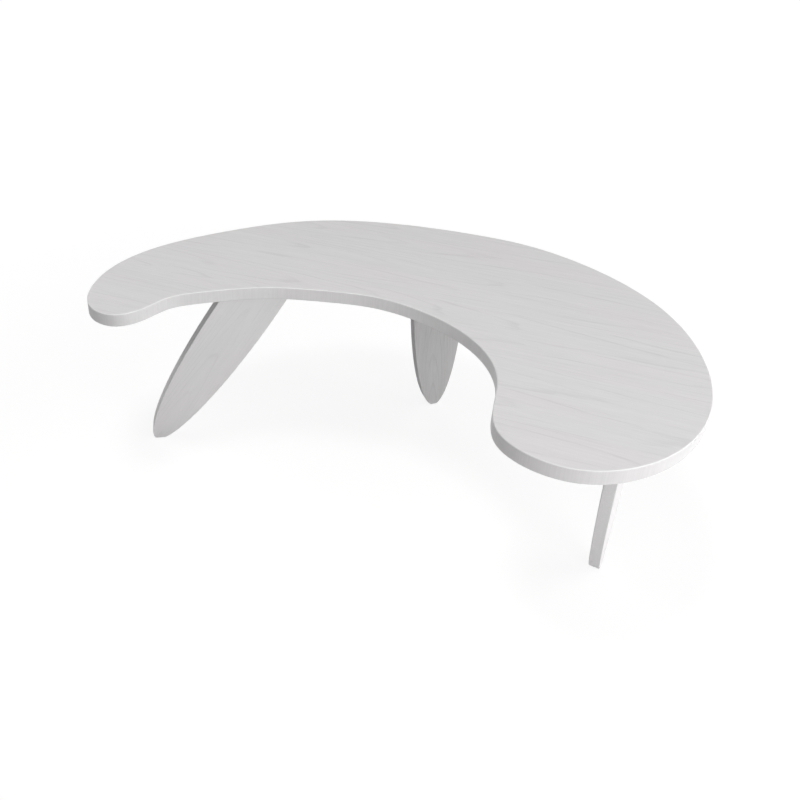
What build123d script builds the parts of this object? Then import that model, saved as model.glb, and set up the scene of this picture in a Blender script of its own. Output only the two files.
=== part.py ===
from build123d import *
import os
from math import cos, radians, sin, sqrt, tan

# Driving dimensions, in millimetres and degrees
desk_height = 740.0
top_length = 1800.0
top_depth = 1116.0
top_thickness = 42.0
board_rows = 9
bay_rows = 4
arm_first_row = 1
top_edge_radius = 3.0
bottom_edge_radius = 2.0

# Outline of the top, run once round from the middle of the back by way of the left end,
# in shares of its length and depth
outline_shares = [
    (0.136, 0.496),
    (-0.067, 0.480),
    (-0.242, 0.389),
    (-0.389, 0.190),
    (-0.484, -0.035),
    (-0.493, -0.241),
    (-0.442, -0.356),
    (-0.403, -0.358),
    (-0.374, -0.314),
    (-0.350, -0.226),
    (-0.307, -0.162),
    (-0.209, -0.067),
    (-0.110, -0.020),
    (-0.030, 0.000),
    (0.045, -0.017),
    (0.145, -0.096),
    (0.209, -0.254),
    (0.232, -0.442),
    (0.315, -0.501),
    (0.422, -0.426),
    (0.491, -0.236),
    (0.492, 0.011),
    (0.427, 0.243),
    (0.300, 0.414),
]

# Loose tenons in the seams between boards, seam by seam from the front, in shares of the length
tenon_width = 50.0
tenon_reach = 20.0
tenon_thickness = 10.0
tenon_clearance = 0.2
tenon_shares = [
    [0.262, 0.396],
    [-0.451, -0.390, 0.251, 0.345, 0.440],
    [-0.462, -0.407, -0.351, 0.223, 0.312, 0.401, 0.466],
    [-0.457, -0.368, -0.279, 0.152, 0.240, 0.329, 0.418, 0.468],
    [-0.418, -0.312, -0.206, -0.100, 0.006, 0.111, 0.217, 0.323, 0.429],
    [-0.362, -0.251, -0.139, -0.028, 0.084, 0.195, 0.306, 0.412],
    [-0.290, -0.173, -0.056, 0.061, 0.178, 0.295, 0.373],
    [-0.201, -0.095, 0.011, 0.117, 0.223, 0.290],
]

# Threaded inserts in the underside
insert_diameter = 10.0
insert_cover = 4.0
insert_clearance = 0.1

# Machine screws
screw_diameter = 6.0
screw_end_gap = 2.0
flush_head_diameter = 12.0
flush_head_height = 3.3
button_head_diameter = 11.0
button_head_height = 3.0
socket_width = 4.0
socket_depth = 2.0
screw_clearance = 0.3
head_clearance = 0.1
thread_clearance = 0.1

# Steel channels across the grain: place in shares of the length, ends in shares of the depth
channel_width = 40.0
channel_wall = 3.0
channel_cover = 2.0
channel_clearance = 0.5
channel_slot_play = 3.0
channel_shares = [
    ("arm_channel", -0.362, -0.160, 0.180),
    ("middle_channel", -0.110, 0.045, 0.385),
    ("lobe_channel", 0.280, -0.400, 0.350),
]

# Legs: place in shares of the length and depth, plan angle, lean along the plank and lean across it
leg_width = 200.0
leg_thickness = 33.0
leg_edge_radius = 2.5
widest_share = 0.820
leg_shares = [
    ("left", -0.238, -0.056, 29.3, -27.8, 15.4),
    ("middle", 0.029, 0.362, 41.0, 6.7, 7.2),
    ("right", 0.392, -0.304, 81.7, 20.9, 0.4),
]

# Leg brackets: a plate under the top, a tongue in the leg
plate_thickness = 5.0
plate_overhang = 20.0
plate_front_margin = 6.0
plate_flange = 34.0
plate_corner_radius = 8.0
plate_screw_count = 4
plate_screw_edge = 18.0
plate_end_screw_edge = 10.0
tongue_width = 110.0
tongue_length = 120.0
tongue_thickness = 6.0
tongue_clearance = 0.2
tongue_screw_spacing = 64.0
tongue_screw_drop = 70.0

# Foot glides
glide_diameter = 18.0
glide_thickness = 3.0
glide_screw_diameter = 3.2
glide_screw_length = 22.0
glide_head_diameter = 7.0
glide_head_height = 1.8
glide_head_sink = 0.6
pilot_clearance = 0.1

# Sizes that follow
overrun = 10.0
underside_height = desk_height - top_thickness
plate_bottom_height = underside_height - plate_thickness
board_width = top_depth / board_rows
cover_below_tenons = (top_thickness - tenon_thickness) / 2
insert_length = cover_below_tenons - insert_cover
insert_bore = screw_diameter + 2 * thread_clearance
channel_height = cover_below_tenons - channel_cover
tenon_height = underside_height + top_thickness / 2

os.makedirs("parts", exist_ok=True)


def save(builder, name):
    """Label a finished piece and write it under its node's name."""
    builder.part.label = name
    export_step(builder.part, f"parts/{name}.step")


def add_flush_screw(place, head_diameter, head_height, shank_diameter, length):
    """Countersunk screw, its flat head on the plane's origin and its shank along the plane's normal."""
    head = head_diameter / 2
    shank = shank_diameter / 2
    side = Plane(origin=place.origin, x_dir=place.x_dir, z_dir=-place.y_dir)
    with BuildSketch(side) as profile:
        with BuildLine():
            Polyline((0, 0), (head, 0), (shank, head_height), (shank, length), (0, length), close=True)
        make_face()
    revolve(profile.sketch, axis=Axis(place.origin, place.z_dir))


def cut_socket(place):
    """Hexagon socket in a screw head."""
    with BuildSketch(place) as socket:
        RegularPolygon(radius=socket_width / 2, side_count=6, major_radius=False)
    extrude(socket.sketch, amount=socket_depth, mode=Mode.SUBTRACT)


def cut_flush_hole(place, head_diameter, head_height, shank_diameter, depth, clearance):
    """Countersunk hole that takes a flush screw, its mouth on the plane's origin."""
    head = head_diameter / 2 + head_clearance
    shank = shank_diameter / 2 + clearance
    side = Plane(origin=place.origin, x_dir=place.x_dir, z_dir=-place.y_dir)
    with BuildSketch(side) as profile:
        with BuildLine():
            Polyline((0, 0), (head, 0), (shank, head_height), (shank, depth), (0, depth), close=True)
        make_face()
    revolve(profile.sketch, axis=Axis(place.origin, place.z_dir), mode=Mode.SUBTRACT)


# The slab that the boards are cut from
outline_points = [(x * top_length, y * top_depth) for x, y in outline_shares]
with BuildSketch() as outline:
    with BuildLine():
        Spline(*outline_points, periodic=True)
    make_face()
outline_centre = outline.sketch.bounding_box().center()

with BuildPart() as slab:
    with BuildSketch(Plane.XY.offset(underside_height)):
        with Locations((-outline_centre.X, -outline_centre.Y)):
            add(outline.sketch)
    extrude(amount=top_thickness)
    fillet(slab.edges().group_by(Axis.Z)[-1], top_edge_radius)
    fillet(slab.edges().group_by(Axis.Z)[0], bottom_edge_radius)


# Places on the underside
def leg_frame(x_share, y_share, plan_angle, along_lean, across_lean):
    """Where a leg's axis meets the underside, its level direction, its plane and its length."""
    top = Vector(x_share * top_length, y_share * top_depth, underside_height)
    level = Vector(cos(radians(plan_angle)), sin(radians(plan_angle)), 0)
    square = Vector(-level.Y, level.X, 0)
    run = level * tan(radians(along_lean)) + square * tan(radians(across_lean))
    fall = run * underside_height + Vector(0, 0, -underside_height)
    rise = -fall.normalized()
    width_dir = (level - rise * level.dot(rise)).normalized()
    plane = Plane(origin=top, x_dir=width_dir, z_dir=width_dir.cross(rise))
    return top, level, square, plane, fall.length


def leg_section(plane, length, level):
    """Middle and half length of the leg's level section, measured along it from the leg's axis."""
    half_width = leg_width / 2
    half_length = widest_share * length
    above_middle = length - half_length - plate_thickness
    slope_cos = level.dot(plane.x_dir)
    slope_sin = level.dot(plane.y_dir)
    square_term = (slope_cos / half_width) ** 2 + (slope_sin / half_length) ** 2
    linear_term = above_middle * slope_sin / half_length**2
    constant = (above_middle / half_length) ** 2 - 1
    middle = -linear_term / square_term
    reach = sqrt(middle**2 - constant / square_term)
    return middle, reach


def plate_frame(top, level, square, plane, length):
    """Plane of a plate's lower face, centred on the leg's section, and the section's half length."""
    middle, reach = leg_section(plane, length, level)
    drop = top - plane.y_dir * (plate_thickness / plane.y_dir.Z)
    centre = drop + level * middle
    return Plane(origin=centre, x_dir=level, z_dir=(0, 0, 1)), reach


def plate_screw_points(reach):
    """Screws of a plate in its own plane: a row on the flange and one past each end of the leg."""
    half_plate = reach + plate_overhang
    flange_line = leg_thickness / 2 + plate_flange / 2
    step = 2 * (half_plate - plate_screw_edge) / (plate_screw_count - 1)
    row = [(-half_plate + plate_screw_edge + i * step, flange_line) for i in range(plate_screw_count)]
    ends = [(side * (half_plate - plate_end_screw_edge), 0) for side in (-1, 1)]
    return row + ends


legs = {}
plate_screw_places = []
for name, x_share, y_share, plan_angle, along_lean, across_lean in leg_shares:
    top, level, square, plane, length = leg_frame(x_share, y_share, plan_angle, along_lean, across_lean)
    plate_plane, reach = plate_frame(top, level, square, plane, length)
    legs[name] = (plane, length, plate_plane, reach)
    for point in plate_screw_points(reach):
        place = plate_plane.from_local_coords(point)
        plate_screw_places.append(Plane(origin=place, x_dir=(1, 0, 0), z_dir=(0, 0, 1)))

channels = {}
channel_screw_places = []
for name, x_share, front_share, back_share in channel_shares:
    x = x_share * top_length
    front = front_share * top_depth
    back = back_share * top_depth
    channels[name] = (x, front, back)
    for row in range(board_rows):
        y = (row - (board_rows - 1) / 2) * board_width
        if front + channel_width / 2 < y < back - channel_width / 2:
            channel_screw_places.append((x, y))

plate_insert_places = [(place.origin.X, place.origin.Y) for place in plate_screw_places]

tenon_places = []
for seam, shares in enumerate(tenon_shares, start=1):
    y = (seam - board_rows / 2) * board_width
    for share in shares:
        tenon_places.append((seam, share * top_length, y))


# Boards, cut from the slab in rows along the grain
def make_board(name, row, from_x, to_x):
    front = (row - board_rows / 2) * board_width - (overrun if row == 0 else 0)
    back = (row + 1 - board_rows / 2) * board_width + (overrun if row == board_rows - 1 else 0)
    with BuildPart() as board:
        add(slab.part)
        with BuildSketch(Plane.XY.offset(underside_height - overrun)):
            with Locations(((from_x + to_x) / 2, (front + back) / 2)):
                Rectangle(to_x - from_x, back - front)
        extrude(amount=top_thickness + 2 * overrun, mode=Mode.INTERSECT)
        # mortises for the loose tenons
        seams = (row, row + 1)
        mortises = [(x, y) for seam, x, y in tenon_places if seam in seams and from_x < x < to_x]
        with BuildSketch(Plane.XY.offset(tenon_height - tenon_thickness / 2 - tenon_clearance)):
            with Locations(*mortises):
                Rectangle(tenon_width + 2 * tenon_clearance, 2 * (tenon_reach + tenon_clearance))
        extrude(amount=tenon_thickness + 2 * tenon_clearance, mode=Mode.SUBTRACT)
        # sockets for the threaded inserts of the brackets
        hole = insert_diameter / 2 + insert_clearance
        with BuildSketch(Plane.XY.offset(underside_height)):
            with Locations(*plate_insert_places):
                Circle(hole)
        extrude(amount=insert_length + insert_clearance, mode=Mode.SUBTRACT)
        # seats for the channels: a shallow recess for the web and a kerf for each flange
        for x, channel_front, channel_back in channels.values():
            cut_channel_seat(x, channel_front, channel_back)
        with BuildSketch(Plane.XY.offset(underside_height + channel_wall)):
            with Locations(*channel_screw_places):
                Circle(hole)
        extrude(amount=insert_length - channel_wall + insert_clearance, mode=Mode.SUBTRACT)
    save(board, name)
    return board


def cut_channel_seat(x, front, back):
    length = back - front + 2 * channel_clearance
    with BuildSketch(Plane.XY.offset(underside_height)) as recess:
        with Locations((x, (front + back) / 2)):
            Rectangle(channel_width + 2 * channel_clearance, length)
    extrude(recess.sketch, amount=channel_wall, mode=Mode.SUBTRACT)
    kerf = channel_wall + 2 * channel_clearance
    line = (channel_width - channel_wall) / 2
    with BuildSketch(Plane.XY.offset(underside_height)) as kerfs:
        with Locations((x - line, (front + back) / 2), (x + line, (front + back) / 2)):
            Rectangle(kerf, length)
    extrude(kerfs.sketch, amount=channel_height + channel_clearance, mode=Mode.SUBTRACT)


far_left = -top_length / 2 - overrun
far_right = top_length / 2 + overrun
for row in range(bay_rows):
    make_board(f"lobe_board_{row + 1}", row, 0, far_right)
for row in range(arm_first_row, bay_rows):
    make_board(f"arm_board_{row - arm_first_row + 1}", row, far_left, 0)
for row in range(bay_rows, board_rows):
    make_board(f"long_board_{row - bay_rows + 1}", row, far_left, far_right)


# Loose tenons, one in each pair of mortises
with BuildPart() as tenons:
    with BuildSketch(Plane.XY.offset(tenon_height - tenon_thickness / 2)):
        with Locations(*[(x, y) for seam, x, y in tenon_places]):
            Rectangle(tenon_width, 2 * tenon_reach)
    extrude(amount=tenon_thickness)
save(tenons, "loose_tenons")

# Threaded inserts, turned into the underside
with BuildPart() as bracket_inserts:
    with BuildSketch(Plane.XY.offset(underside_height)):
        with Locations(*plate_insert_places):
            Circle(insert_diameter / 2)
            Circle(insert_bore / 2, mode=Mode.SUBTRACT)
    extrude(amount=insert_length)
save(bracket_inserts, "bracket_inserts")

with BuildPart() as channel_inserts:
    with BuildSketch(Plane.XY.offset(underside_height + channel_wall)):
        with Locations(*channel_screw_places):
            Circle(insert_diameter / 2)
            Circle(insert_bore / 2, mode=Mode.SUBTRACT)
    extrude(amount=insert_length - channel_wall)
save(channel_inserts, "channel_inserts")


# Steel channels, flush in the underside, with slots that let the boards swell
def make_channel(name, x, front, back):
    length = back - front
    middle = (x, (front + back) / 2)
    line = (channel_width - channel_wall) / 2
    hole_width = screw_diameter + 2 * screw_clearance
    with BuildPart() as channel:
        with BuildSketch(Plane.XY.offset(underside_height)):
            with Locations(middle):
                Rectangle(channel_width, length)
        extrude(amount=channel_wall)
        with BuildSketch(Plane.XY.offset(underside_height)):
            with Locations((x - line, middle[1]), (x + line, middle[1])):
                Rectangle(channel_wall, length)
        extrude(amount=channel_height)
        with BuildSketch(Plane.XY.offset(underside_height)):
            with Locations(*[place for place in channel_screw_places if place[0] == x]):
                SlotOverall(hole_width + 2 * channel_slot_play, hole_width, rotation=90)
        extrude(amount=channel_wall, mode=Mode.SUBTRACT)
    save(channel, name)


for name, (x, front, back) in channels.items():
    make_channel(name, x, front, back)

# Button screws of the channels
with BuildPart() as channel_screws:
    with BuildSketch(Plane.XY.offset(underside_height - button_head_height)):
        with Locations(*channel_screw_places):
            Circle(button_head_diameter / 2)
    extrude(amount=button_head_height)
    fillet(channel_screws.edges().group_by(Axis.Z)[0], button_head_height / 2)
    with BuildSketch(Plane.XY.offset(underside_height)):
        with Locations(*channel_screw_places):
            Circle(screw_diameter / 2)
    extrude(amount=insert_length - screw_end_gap)
    for x, y in channel_screw_places:
        cut_socket(Plane(origin=(x, y, underside_height - button_head_height), z_dir=(0, 0, 1)))
save(channel_screws, "channel_screws")

# Flush screws of the brackets, up through the plates into their inserts
with BuildPart() as bracket_screws:
    for place in plate_screw_places:
        shank_length = plate_thickness + insert_length - screw_end_gap
        add_flush_screw(place, flush_head_diameter, flush_head_height, screw_diameter, shank_length)
        cut_socket(place)
save(bracket_screws, "bracket_screws")


# Legs and what holds them
def tongue_screw_frames(plane):
    """Planes of the two screws that clamp a tongue, on the face of the leg turned from the bay."""
    frames = []
    for side in (-1, 1):
        point = (side * tongue_screw_spacing / 2, -tongue_screw_drop, -leg_thickness / 2)
        frames.append(Plane(origin=plane.from_local_coords(point), x_dir=plane.x_dir, z_dir=plane.z_dir))
    return frames


def make_bracket(name, plane, plate_plane, reach):
    plate_front = leg_thickness / 2 + plate_front_margin
    plate_back = leg_thickness / 2 + plate_flange
    with BuildPart() as bracket:
        # tongue, welded under the plate
        with BuildSketch(plane.offset(-tongue_thickness / 2)):
            with Locations((0, (overrun - tongue_length) / 2)):
                Rectangle(tongue_width, tongue_length + overrun)
        extrude(amount=tongue_thickness)
        with BuildSketch(Plane.XY):
            Rectangle(2 * top_length, 2 * top_length)
        extrude(amount=underside_height, mode=Mode.INTERSECT)
        # plate
        with BuildSketch(plate_plane):
            with Locations((0, (plate_back - plate_front) / 2)):
                RectangleRounded(2 * (reach + plate_overhang), plate_front + plate_back, plate_corner_radius)
        extrude(amount=plate_thickness)
        # countersunk holes in the plate and threaded holes in the tongue
        for point in plate_screw_points(reach):
            place = Plane(origin=plate_plane.from_local_coords(point), z_dir=(0, 0, 1))
            depth = plate_thickness + overrun
            head = flush_head_diameter
            cut_flush_hole(place, head, flush_head_height, screw_diameter, depth, screw_clearance)
        for frame in tongue_screw_frames(plane):
            with BuildSketch(frame) as hole:
                Circle(insert_bore / 2)
            extrude(hole.sketch, amount=leg_thickness, mode=Mode.SUBTRACT)
    save(bracket, f"{name}_leg_bracket")


def make_leg(name, plane, length):
    half_length = widest_share * length
    with BuildPart() as leg:
        # blade, an ellipse cut off at the plate and at the glide
        with BuildSketch(plane.offset(-leg_thickness / 2)):
            with Locations((0, half_length - length)):
                Ellipse(leg_width / 2, half_length)
        extrude(amount=leg_thickness)
        fillet(leg.edges(), leg_edge_radius)
        with BuildSketch(Plane.XY.offset(glide_thickness)):
            Rectangle(2 * top_length, 2 * top_length)
        extrude(amount=plate_bottom_height - glide_thickness, mode=Mode.INTERSECT)
        # slot for the tongue
        with BuildSketch(plane.offset(-tongue_thickness / 2 - tongue_clearance)):
            with Locations((0, (overrun - tongue_length - tongue_clearance) / 2)):
                Rectangle(tongue_width + 2 * tongue_clearance, tongue_length + tongue_clearance + overrun)
        extrude(amount=tongue_thickness + 2 * tongue_clearance, mode=Mode.SUBTRACT)
        # holes for the tongue's screws and for the glide's screw
        for frame in tongue_screw_frames(plane):
            depth = (leg_thickness + tongue_thickness) / 2 + tongue_clearance
            head = flush_head_diameter
            cut_flush_hole(frame, head, flush_head_height, screw_diameter, depth, screw_clearance)
        foot = leg.faces().filter_by(Plane.XY).sort_by(Axis.Z)[0].center()
        with BuildSketch(Plane.XY.offset(glide_thickness)):
            with Locations((foot.X, foot.Y)):
                Circle(glide_screw_diameter / 2 + pilot_clearance)
        extrude(amount=glide_screw_length, mode=Mode.SUBTRACT)
    save(leg, f"{name}_leg")
    return foot


def make_glide(name, foot):
    with BuildPart() as glide:
        with BuildSketch(Plane.XY):
            with Locations((foot.X, foot.Y)):
                Circle(glide_diameter / 2)
        extrude(amount=glide_thickness)
        place = Plane(origin=(foot.X, foot.Y, glide_head_sink), z_dir=(0, 0, 1))
        head = glide_head_diameter
        cut_flush_hole(place, head, glide_head_height, glide_screw_diameter, glide_thickness, pilot_clearance)
        with BuildSketch(Plane.XY):
            with Locations((foot.X, foot.Y)):
                Circle(glide_head_diameter / 2 + head_clearance)
        extrude(amount=glide_head_sink, mode=Mode.SUBTRACT)
    save(glide, f"{name}_foot_glide")


feet = {}
for name, (plane, length, plate_plane, reach) in legs.items():
    make_bracket(name, plane, plate_plane, reach)
    feet[name] = make_leg(name, plane, length)
    make_glide(name, feet[name])

# Screws that clamp the tongues in the legs
with BuildPart() as tongue_screws:
    for plane, length, plate_plane, reach in legs.values():
        for frame in tongue_screw_frames(plane):
            shank_length = (leg_thickness + tongue_thickness) / 2
            add_flush_screw(frame, flush_head_diameter, flush_head_height, screw_diameter, shank_length)
            cut_socket(frame)
save(tongue_screws, "tongue_screws")

# Screws of the glides
with BuildPart() as glide_screws:
    for foot in feet.values():
        place = Plane(origin=(foot.X, foot.Y, glide_head_sink), z_dir=(0, 0, 1))
        shank_length = glide_screw_length - glide_head_sink
        add_flush_screw(place, glide_head_diameter, glide_head_height, glide_screw_diameter, shank_length)
save(glide_screws, "glide_screws")

for name, foot in feet.items():
    print(f"{name} foot at {foot.X:.1f}, {foot.Y:.1f}")
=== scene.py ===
from math import cos, radians, sin

import bpy
import numpy as np
from mathutils import Matrix, Vector


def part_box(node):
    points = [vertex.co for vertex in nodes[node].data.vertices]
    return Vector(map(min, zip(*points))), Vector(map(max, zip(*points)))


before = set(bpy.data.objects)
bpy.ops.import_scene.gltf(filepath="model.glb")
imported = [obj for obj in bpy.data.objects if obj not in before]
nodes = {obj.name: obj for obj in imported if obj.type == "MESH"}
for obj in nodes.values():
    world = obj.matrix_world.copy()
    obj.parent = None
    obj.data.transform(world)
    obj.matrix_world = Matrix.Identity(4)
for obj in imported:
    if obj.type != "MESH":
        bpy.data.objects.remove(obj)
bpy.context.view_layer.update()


# Boards of the top
# Rows of hardwood boards, glued edge to edge along the grain, planed flush and rounded over at the rim.
# They are washed with thinned white and sealed with a matt lacquer, so the grain shows as faint streaks.
class Field:
    """A value that varies over a surface. Arithmetic on it adds Math nodes to its material."""

    def __init__(self, socket):
        self.socket = socket

    def node(self, kind, inputs, outlet=0, stops=(), **settings):
        """Add a node with its settings, then set or link its sockets, and return one of its outlets."""
        tree = self.socket.id_data
        made = tree.nodes.new(kind)
        for name, value in settings.items():
            setattr(made, name, value)
        for place, (share, grey) in enumerate(stops):
            elements = made.color_ramp.elements
            stop = elements[place] if place < len(elements) else elements.new(share)
            stop.position = share
            stop.color = (grey, grey, grey, 1)
        for key, value in inputs.items():
            if isinstance(value, Field):
                tree.links.new(value.socket, made.inputs[key])
            else:
                made.inputs[key].default_value = value
        return Field(made.outputs[outlet])

    def math(self, operation, first, second=0.0):
        return self.node("ShaderNodeMath", {0: first, 1: second}, operation=operation)

    def __add__(self, other):
        return self.math("ADD", self, other)

    def __sub__(self, other):
        return self.math("SUBTRACT", self, other)

    def __rsub__(self, other):
        return self.math("SUBTRACT", other, self)

    def __mul__(self, other):
        return self.math("MULTIPLY", self, other)

    __radd__ = __add__
    __rmul__ = __mul__

    def along(self, *directions):
        """The lengths of this vector along one or more directions."""
        lengths = []
        for direction in directions:
            both = {0: self, 1: tuple(direction)}
            lengths.append(self.node("ShaderNodeVectorMath", both, outlet=1, operation="DOT_PRODUCT"))
        return lengths if len(lengths) > 1 else lengths[0]

    def size(self):
        """The length of this vector."""
        return self.node("ShaderNodeVectorMath", {0: self}, outlet=1, operation="LENGTH")

    def noise(self, x, y, z, detail=2.0, roughness=0.5):
        """Smooth noise from 0 to 1, one lump to a unit of the three values."""
        place = self.node("ShaderNodeCombineXYZ", {0: x, 1: y, 2: z})
        sizes = {"Vector": place, "Scale": 1.0, "Detail": detail, "Roughness": roughness}
        return self.node("ShaderNodeTexNoise", sizes)

    def steps(self, *stops):
        """This value, led through greys at given shares."""
        return self.node("ShaderNodeValToRGB", {"Fac": self}, stops=stops)

    def blend(self, first, second):
        """A colour that goes from the first to the second as this value goes from 0 to 1."""
        return self.node("ShaderNodeMix", {0: self, 6: first, 7: second}, outlet=2, data_type="RGBA")

    def tinted(self, tint):
        """This colour times another."""
        colours = {0: 1.0, 6: self, 7: tint}
        return self.node("ShaderNodeMix", colours, outlet=2, data_type="RGBA", blend_type="MULTIPLY")

    def bump(self, strength, distance):
        """The surface's direction, with this value as its height."""
        return self.node("ShaderNodeBump", {"Strength": strength, "Distance": distance, "Height": self})


def grey(level):
    return (level, level, level, 1)


def place_on(name):
    """The place on its piece, in metres, as a Field of a new material."""
    material = bpy.data.materials.new(name)
    material.use_nodes = True
    return Field(material.node_tree.nodes.new("ShaderNodeTexCoord").outputs["Object"])


def finish(name, colour, roughness, metallic=0.0, normal=None, gloss=0.5):
    """Fill a new material's shader. Colour, roughness and normal may be Fields of that material."""
    material = bpy.data.materials[name]
    shader = material.node_tree.nodes["Principled BSDF"]
    shader.inputs["Metallic"].default_value = metallic
    shader.inputs["Specular IOR Level"].default_value = gloss
    values = {"Base Color": colour, "Roughness": roughness, "Normal": normal}
    for key, value in values.items():
        if isinstance(value, Field):
            material.node_tree.links.new(value.socket, shader.inputs[key])
        elif value is not None:
            shader.inputs[key].default_value = value
    return material


def dress(name, material):
    """Give a CAD node its finish."""
    slots = nodes[name].data.materials
    slots.clear()
    slots.append(material)


along_x, along_y, along_z = (1, 0, 0), (0, 1, 0), (0, 0, 1)
white_wash = (0.746, 0.738, 0.740, 1)
washed_grain = (0.625, 0.616, 0.617, 1)
washed_pore = (0.52, 0.505, 0.50, 1)
warm_patch = (1, 0.975, 0.985, 1)
# pale grey for the painted highlight along the rounded edges
painted_arris_highlight = grey(0.82)
lacquer_gloss = 0.25
lacquer_roughness = 0.56
plain_shade = 0.22  # how far the wood between its marks is from the wash to the grain's colour
pith_sway, pith_swell = 0.05, 0.04  # metres
ring_wobble = 0.8  # of a ring
ring_mark, broad_mark, medium_mark, fine_mark = 0.46, 0.44, 0.6, 0.7
streak_mark, rim_broad_mark = 0.8, 0.4
pore_mark, patch_mark = 0.35, 0.5
# how far the rounded edges go towards that painted highlight
arris_highlight_share = 0.45
streak_lumps = (300, 300, 12)  # to a metre, round the rim and up it
seed_step = 2.37  # metres of noise between one piece and the next


def whitewashed(
    name, grain, width, thick, pith, slope, seed,
    depth=1.0, tone=1.0, painted_edge_light=1.0, wander=1.0, ring_step=0.013,
):
    """Whitewashed wood: rings are cones round a pith beside the piece, cut by its faces.

    The pith is placed along the grain, the width and the thickness, and nears or leaves the piece by the
    slope. Depth is the strength of the figure, tone and the edge tone are painted light and shade that make
    faces and edges lighter or darker, and wander is how freely the pith sways.
    """
    place = place_on(name)
    lengthwise = place.along(grain) - pith[0]
    run = lengthwise + seed * seed_step
    across = place.along(width) - pith[1]
    through = place.along(thick) - pith[2]

    def fibres(along, crosswise, detail=2.0, roughness=0.5, shift=0.0):
        """Noise drawn out along the grain, given by its lumps to a metre."""
        return place.noise(run * along + shift, across * crosswise, through * crosswise, detail, roughness)

    sway = fibres(along=1.3, crosswise=4, detail=1.0) - 0.5
    swell = fibres(along=0.9, crosswise=3, detail=1.0, shift=7.3) - 0.5
    beside_pith = across + sway * (pith_sway * wander)
    over_pith = through + swell * (pith_swell * wander) + lengthwise * slope
    radius = place.node("ShaderNodeCombineXYZ", {0: beside_pith, 1: over_pith, 2: 0.0}).size()
    wobble = fibres(along=4, crosswise=24) * ring_wobble
    ring = place.math("FRACT", radius * (1 / ring_step) + wobble)
    late_wood = ring.steps((0.0, 0.2), (0.05, 0.0), (0.80, 0.0), (0.94, 1.0), (0.97, 0.9), (1.0, 0.2))
    faint = fibres(along=4, crosswise=26, detail=1.0, shift=3.1).steps((0.36, 0.1), (0.64, 1.0))
    broad = fibres(along=2, crosswise=34)
    medium = fibres(along=7, crosswise=190, detail=3.0, roughness=0.55)
    fine = fibres(along=26, crosswise=800, roughness=0.6)
    pores = fibres(along=45, crosswise=1500, detail=1.0).steps((0.60, 0.0), (0.70, 1.0))
    # the rim was routed and sanded across, so its streaks run with the thickness
    facing = place.node("ShaderNodeNewGeometry", {}, outlet="Normal")
    flat = place.math("ABSOLUTE", facing.along(thick))
    rim = flat.steps((0.45, 1.0), (0.8, 0.0))
    level = place.node("ShaderNodeVectorMath", {0: place, 1: streak_lumps}, operation="MULTIPLY")
    streak = place.node("ShaderNodeTexNoise", {"Vector": level, "Scale": 1.0, "Detail": 3.0})
    rings = late_wood * faint * ring_mark
    figure = rings + (broad - 0.5) * broad_mark + (medium - 0.5) * medium_mark + (fine - 0.5) * fine_mark
    rim_figure = (streak - 0.5) * streak_mark + (broad - 0.5) * rim_broad_mark
    shade = figure + rim * (rim_figure - figure)
    washed = (shade * depth + plain_shade).blend(white_wash, washed_grain)
    patch = fibres(along=2.4, crosswise=7, detail=1.0).steps((0.42, 0.0), (0.68, 1.0))
    warmth = (patch * patch_mark).blend(grey(1), warm_patch)
    # painted light and shade: faces and edges are made lighter or darker by tone and the edge tone, then
    # tinted by the warm patches
    coat = rim.blend(grey(tone), grey(painted_edge_light)).tinted(warmth)
    open_pores = pores * late_wood * (1 - rim) * pore_mark * depth
    pitted = open_pores.blend(washed.tinted(coat), washed_pore)
    # painted highlight: the rounded edges are lightened towards pale grey, as if they caught the light
    arris_highlight_mask = flat.steps((0.10, 0.0), (0.30, 1.0), (0.92, 1.0), (0.99, 0.0))
    colour = (arris_highlight_mask * arris_highlight_share).blend(pitted, painted_arris_highlight)
    roughness = lacquer_roughness + (medium - 0.5) * 0.14
    height = fine * 0.5 + medium * 0.3 - pores * 0.6
    raised = height.bump(strength=0.25, distance=0.0004)
    return finish(name, colour, roughness, normal=raised, gloss=lacquer_gloss)


# where the heart of each board lies beside its middle and below its underside, in turn, and how it slopes
piths_aside = (0.012, -0.02, 0.03, -0.008)
piths_below = (0.015, 0.045, 0.03)
board_slopes = (0.028, 0.02, 0.038, 0.024, 0.033)
boards = sorted(name for name in nodes if "_board_" in name)
for seed, name in enumerate(boards):
    low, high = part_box(name)
    middle = (low + high) / 2
    pith_aside = middle.y + piths_aside[seed % len(piths_aside)]
    pith_below = low.z - piths_below[seed % len(piths_below)]
    slope = board_slopes[seed % len(board_slopes)]
    pith = (0.0, pith_aside, pith_below)
    dress(name, whitewashed(f"whitewash_{name}", along_x, along_y, along_z, pith, slope, seed))


# Loose tenons
# Planed beech tongues with bare faces, glued into the mortises between the boards.
# Beech has short dark flecks along its fibres.
pale_beech = (0.66, 0.47, 0.31, 1)
dark_beech = (0.56, 0.37, 0.23, 1)
beech_fleck = (0.38, 0.22, 0.13, 1)
place = place_on("bare_beech")
x, y, z = place.along(along_x, along_y, along_z)
flecks = place.noise(y * 130, x * 900, z * 900, detail=1.0).steps((0.58, 0.0), (0.68, 1.0))
tone = place.noise(y * 9, x * 90, z * 90)
beech = (flecks * 0.6).blend(tone.blend(pale_beech, dark_beech), beech_fleck)
planed = tone.bump(strength=0.2, distance=0.0003)
dress("loose_tenons", finish("bare_beech", beech, 0.55 + tone * 0.15, normal=planed))


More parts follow.
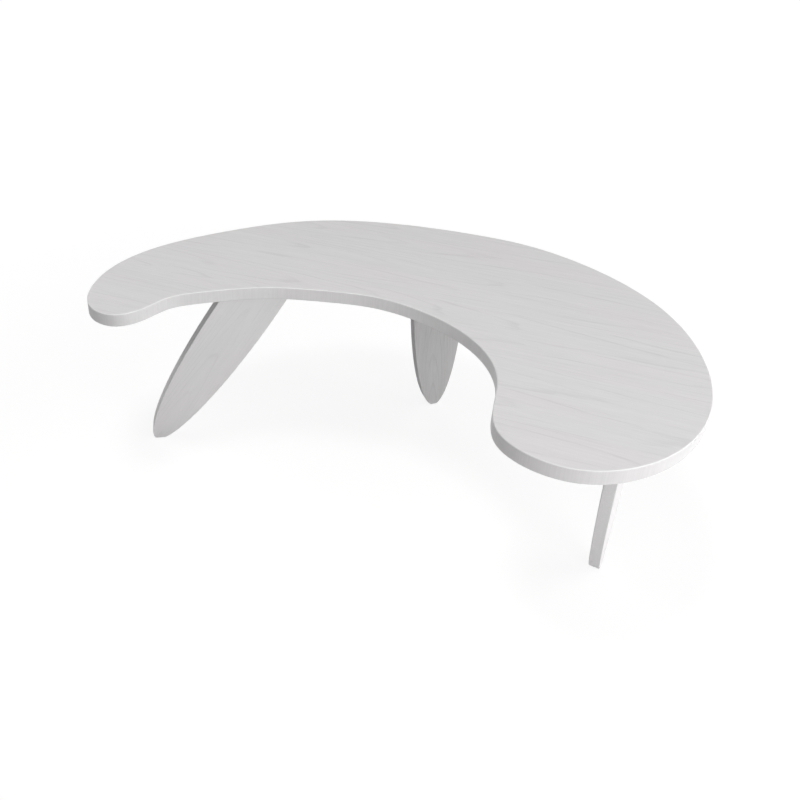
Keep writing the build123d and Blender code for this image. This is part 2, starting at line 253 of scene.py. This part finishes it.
# Steel channels and leg brackets
# Folded channels that keep the top flat, and welded plates with tongues, all shot-blasted and powder coated
# in a fine matt dark grey. The powder melts into a skin with a slight orange peel and a little pale dust.
coat_grey = (0.075, 0.075, 0.078, 1)
coat_dust = (0.1275, 0.12375, 0.12, 1)
place = place_on("powder_coat")
x, y, z = place.along(along_x, along_y, along_z)
peel = place.noise(x * 1400, y * 1400, z * 1400)
dust = place.noise(x * 40, y * 40, z * 40, detail=3.0)
powder = (dust * 0.5).blend(coat_grey, coat_dust)
orange_peel = peel.bump(strength=0.35, distance=0.00012)
coated = finish("powder_coat", powder, 0.46 + (dust - 0.5) * 0.16, normal=orange_peel)
for name in nodes:
    if name.endswith(("_channel", "_leg_bracket")):
        dress(name, coated)


# Threaded inserts
# Turned brass sleeves, screwed into the underside and flush with it.
# They keep the fine lines of the lathe and have a dull tarnish.
bright_brass = (0.82, 0.60, 0.27, 1)
dull_brass = (0.56, 0.37, 0.16, 1)
place = place_on("turned_brass")
x, y, z = place.along(along_x, along_y, along_z)
lines = place.noise(x * 30, y * 30, z * 5200, detail=1.0)
tarnish = place.noise(x * 160, y * 160, z * 160, detail=3.0)
brass = tarnish.blend(bright_brass, dull_brass)
lathe_lines = lines.bump(strength=0.3, distance=0.00006)
turned = finish("turned_brass", brass, 0.24 + tarnish * 0.22, metallic=1.0, normal=lathe_lines)
for name in ("bracket_inserts", "channel_inserts"):
    dress(name, turned)


# Screws
# Cold-headed steel with a hexagon socket, zinc plated and passivated,
# so that it is bright with a cloudy bloom.
bright_zinc = (0.72, 0.73, 0.76, 1)
cloudy_zinc = (0.52, 0.53, 0.52, 1)
place = place_on("zinc_plate")
x, y, z = place.along(along_x, along_y, along_z)
bloom = place.noise(x * 220, y * 220, z * 220, detail=3.0)
drawn = place.noise(x * 2600, y * 2600, z * 300)
zinc = bloom.blend(bright_zinc, cloudy_zinc)
drawn_lines = drawn.bump(strength=0.2, distance=0.00005)
plated = finish("zinc_plate", zinc, 0.26 + bloom * 0.2, metallic=1.0, normal=drawn_lines)
for name in ("bracket_screws", "channel_screws", "tongue_screws", "glide_screws"):
    dress(name, plated)


# Legs
# Long oval blades sawn from solid boards, eased along their edges and washed like the top. Their grain runs
# the length of the leg, and the heart lies near the middle of the face, so that it opens into long arches.
# each leg's tone and edge tone are painted light and shade: the middle leg, in the shade under the top, is
# darker, the left and right legs are lighter, and the right leg's edges are lighter still where light comes
# from the right
leg_woods = {
    "left": {"aside": 0.004, "below": -0.04, "slope": 0.03, "depth": 0.7, "tone": 1.2, "painted_edge_light": 1.2},
    "middle": {"aside": -0.01, "below": -0.03, "slope": 0.045, "depth": 1.7, "tone": 0.94, "painted_edge_light": 0.94},
    "right": {"aside": 0.012, "below": -0.05, "slope": -0.03, "depth": 1.0, "tone": 1.07, "painted_edge_light": 1.19},
}
leg_wander = 0.25
leg_ring_step = 0.0085
for seed, (name, wood) in enumerate(leg_woods.items(), start=20):
    points = np.array([vertex.co for vertex in nodes[f"{name}_leg"].data.vertices])
    middle = points.mean(axis=0)
    axes = np.linalg.eigh(np.cov((points - middle).T))[1]
    thick, width, grain = (Vector(axes[:, column]) for column in range(3))
    thick = thick if thick.y < 0 else -thick
    grain = grain if grain.z > 0 else -grain
    heart = Vector(middle)
    pith = (heart.dot(grain), heart.dot(width) + wood["aside"], heart.dot(thick) + wood["below"])
    wash = whitewashed(
        f"whitewash_{name}_leg", grain, width, thick, pith, wood["slope"], seed,
        wood["depth"], wood["tone"], wood["painted_edge_light"], leg_wander, leg_ring_step,
    )
    dress(f"{name}_leg", wash)


# Foot glides
# Moulded nylon discs screwed under the tips of the legs.
# They are off-white, slightly waxy and scuffed by the floor.
pale_nylon = (0.80, 0.79, 0.75, 1)
dull_nylon = (0.74, 0.73, 0.68, 1)
scuffed_nylon = (0.52, 0.50, 0.46, 1)
place = place_on("glide_nylon")
x, y, z = place.along(along_x, along_y, along_z)
scuff = place.noise(x * 260, y * 900, z * 260, detail=3.0)
cloud = place.noise(x * 90, y * 90, z * 90, detail=1.0)
nylon = (scuff * 0.4).blend(cloud.blend(pale_nylon, dull_nylon), scuffed_nylon)
scratches = scuff.bump(strength=0.25, distance=0.0001)
moulded = finish("glide_nylon", nylon, 0.42 + scuff * 0.2, normal=scratches)
for name in ("left", "middle", "right"):
    dress(f"{name}_foot_glide", moulded)


# Studio
# A pale floor that runs into a white surround, with a faint glow from all round. A small box above throws
# the desk's shadow, two wide ones stand at its right and left, and five low ones light its sides.
# What the eye sees of the floor is white, but for the shadow near the desk.
def seen_by_eye(tree):
    """1 for what the camera sees straight, in a reflection or through glass."""
    path = tree.nodes.new("ShaderNodeLightPath")
    straight, mirrored, through = (
        Field(path.outputs[key]) for key in ("Is Camera Ray", "Is Glossy Ray", "Is Transmission Ray")
    )
    return straight.math("MAXIMUM", straight.math("MAXIMUM", straight, mirrored), through)


room_glow = 0.08
world = bpy.data.worlds.new("surround")
world.use_nodes = True
bpy.context.scene.world = world
sky = world.node_tree.nodes["Background"]
shown = seen_by_eye(world.node_tree).blend(grey(room_glow), grey(1))
world.node_tree.links.new(shown.socket, sky.inputs["Color"])

floor_colour = 0.48
floor_white = 1.02
shadow_paint = 0.17  # near the desk the eye sees the floor as this paint, with a glow of its own
lit_paint = 0.155  # what that paint adds where the boxes reach it, so the glow is less by this
fade_start, fade_end, fade_span = 1.6, 3.0, 4.0  # metres from the middle of the desk
place = place_on("floor_white")
floor_tree = place.socket.id_data
seen = seen_by_eye(floor_tree)
reach = place.size() * (1 / fade_span)
near_desk = reach.steps((fade_start / fade_span, 1.0), (fade_end / fade_span, 0.0))
paint = seen.blend(grey(floor_colour), near_desk.blend(grey(0), grey(shadow_paint)))
glow = seen.blend(grey(0), near_desk.blend(grey(floor_white), grey(floor_white - lit_paint)))
floor_paint = finish("floor_white", paint, 0.9, gloss=0.0)
floor_shader = floor_tree.nodes["Principled BSDF"]
floor_shader.inputs["Emission Strength"].default_value = 1.0
floor_tree.links.new(glow.socket, floor_shader.inputs["Emission Color"])
floor_reach = 20
corners = [(x * floor_reach, y * floor_reach, 0) for x, y in ((-1, -1), (1, -1), (1, 1), (-1, 1))]
floor_mesh = bpy.data.meshes.new("floor")
floor_mesh.from_pydata(corners, [], [(0, 1, 2, 3)])
floor_mesh.materials.append(floor_paint)
floor = bpy.data.objects.new("floor", floor_mesh)
bpy.context.collection.objects.link(floor)

aim = Vector((0, 0, 0.6))
glare_angle = 20  # boxes below this would glare in the lacquer of the top


def soft_box(name, bearing, height_angle, power, side=2.4, distance=4.2):
    """A square area light that faces the desk, its bearing counted from the sitter's side towards +X."""
    turn, lift = radians(bearing), radians(height_angle)
    toward = Vector((sin(turn) * cos(lift), -cos(turn) * cos(lift), sin(lift)))
    lamp = bpy.data.lights.new(name, "AREA")
    lamp.size = side
    lamp.energy = power
    light = bpy.data.objects.new(name, lamp)
    light.location = aim + toward * distance
    light.rotation_euler = (-toward).to_track_quat("-Z", "Y").to_euler()
    light.visible_camera = False
    light.visible_glossy = height_angle > glare_angle
    bpy.context.collection.objects.link(light)


soft_box("top_box", bearing=-16.7, height_angle=72.4, power=87, side=0.9, distance=4.72)
soft_box("right_box", bearing=81.5, height_angle=45, power=43)
soft_box("left_box", bearing=-68.5, height_angle=45, power=31)
soft_box("low_front_box", bearing=51.5, height_angle=6, power=100)
soft_box("low_right_box", bearing=111.5, height_angle=6, power=50)
soft_box("low_back_box", bearing=141.5, height_angle=6, power=21)
soft_box("back_left_box", bearing=205, height_angle=8, power=38)
soft_box("low_left_box", bearing=-68.5, height_angle=8, power=9)


# Camera
# It stands at the front right of the desk, turned to the left and dipped, and sees into the bay from above.
# The picture's centre of perspective lies a little left of and above its middle.
eye = (0.5576, -2.0705, 1.994)
desk_turn = radians(21.5)
camera_dip = radians(30.2)
camera_roll = radians(0.8)
focal_pixels = 814
frame_pixels = 800
eye_pixels = (312.5, 295.5)
forward = Vector((-sin(desk_turn) * cos(camera_dip), cos(desk_turn) * cos(camera_dip), -sin(camera_dip)))
level_right = Vector((cos(desk_turn), sin(desk_turn), 0))
level_up = level_right.cross(forward)
right = level_right * cos(camera_roll) + level_up * sin(camera_roll)
upward = level_up * cos(camera_roll) - level_right * sin(camera_roll)
lens = bpy.data.cameras.new("camera")
lens.sensor_width = 36
lens.lens = lens.sensor_width * focal_pixels / frame_pixels
lens.shift_x = (frame_pixels / 2 - eye_pixels[0]) / frame_pixels
lens.shift_y = (eye_pixels[1] - frame_pixels / 2) / frame_pixels
camera = bpy.data.objects.new("camera", lens)
camera.matrix_world = Matrix.Translation(eye) @ Matrix((right, upward, -forward)).transposed().to_4x4()
bpy.context.collection.objects.link(camera)
bpy.context.scene.camera = camera
bpy.context.scene.view_settings.view_transform = "Standard"
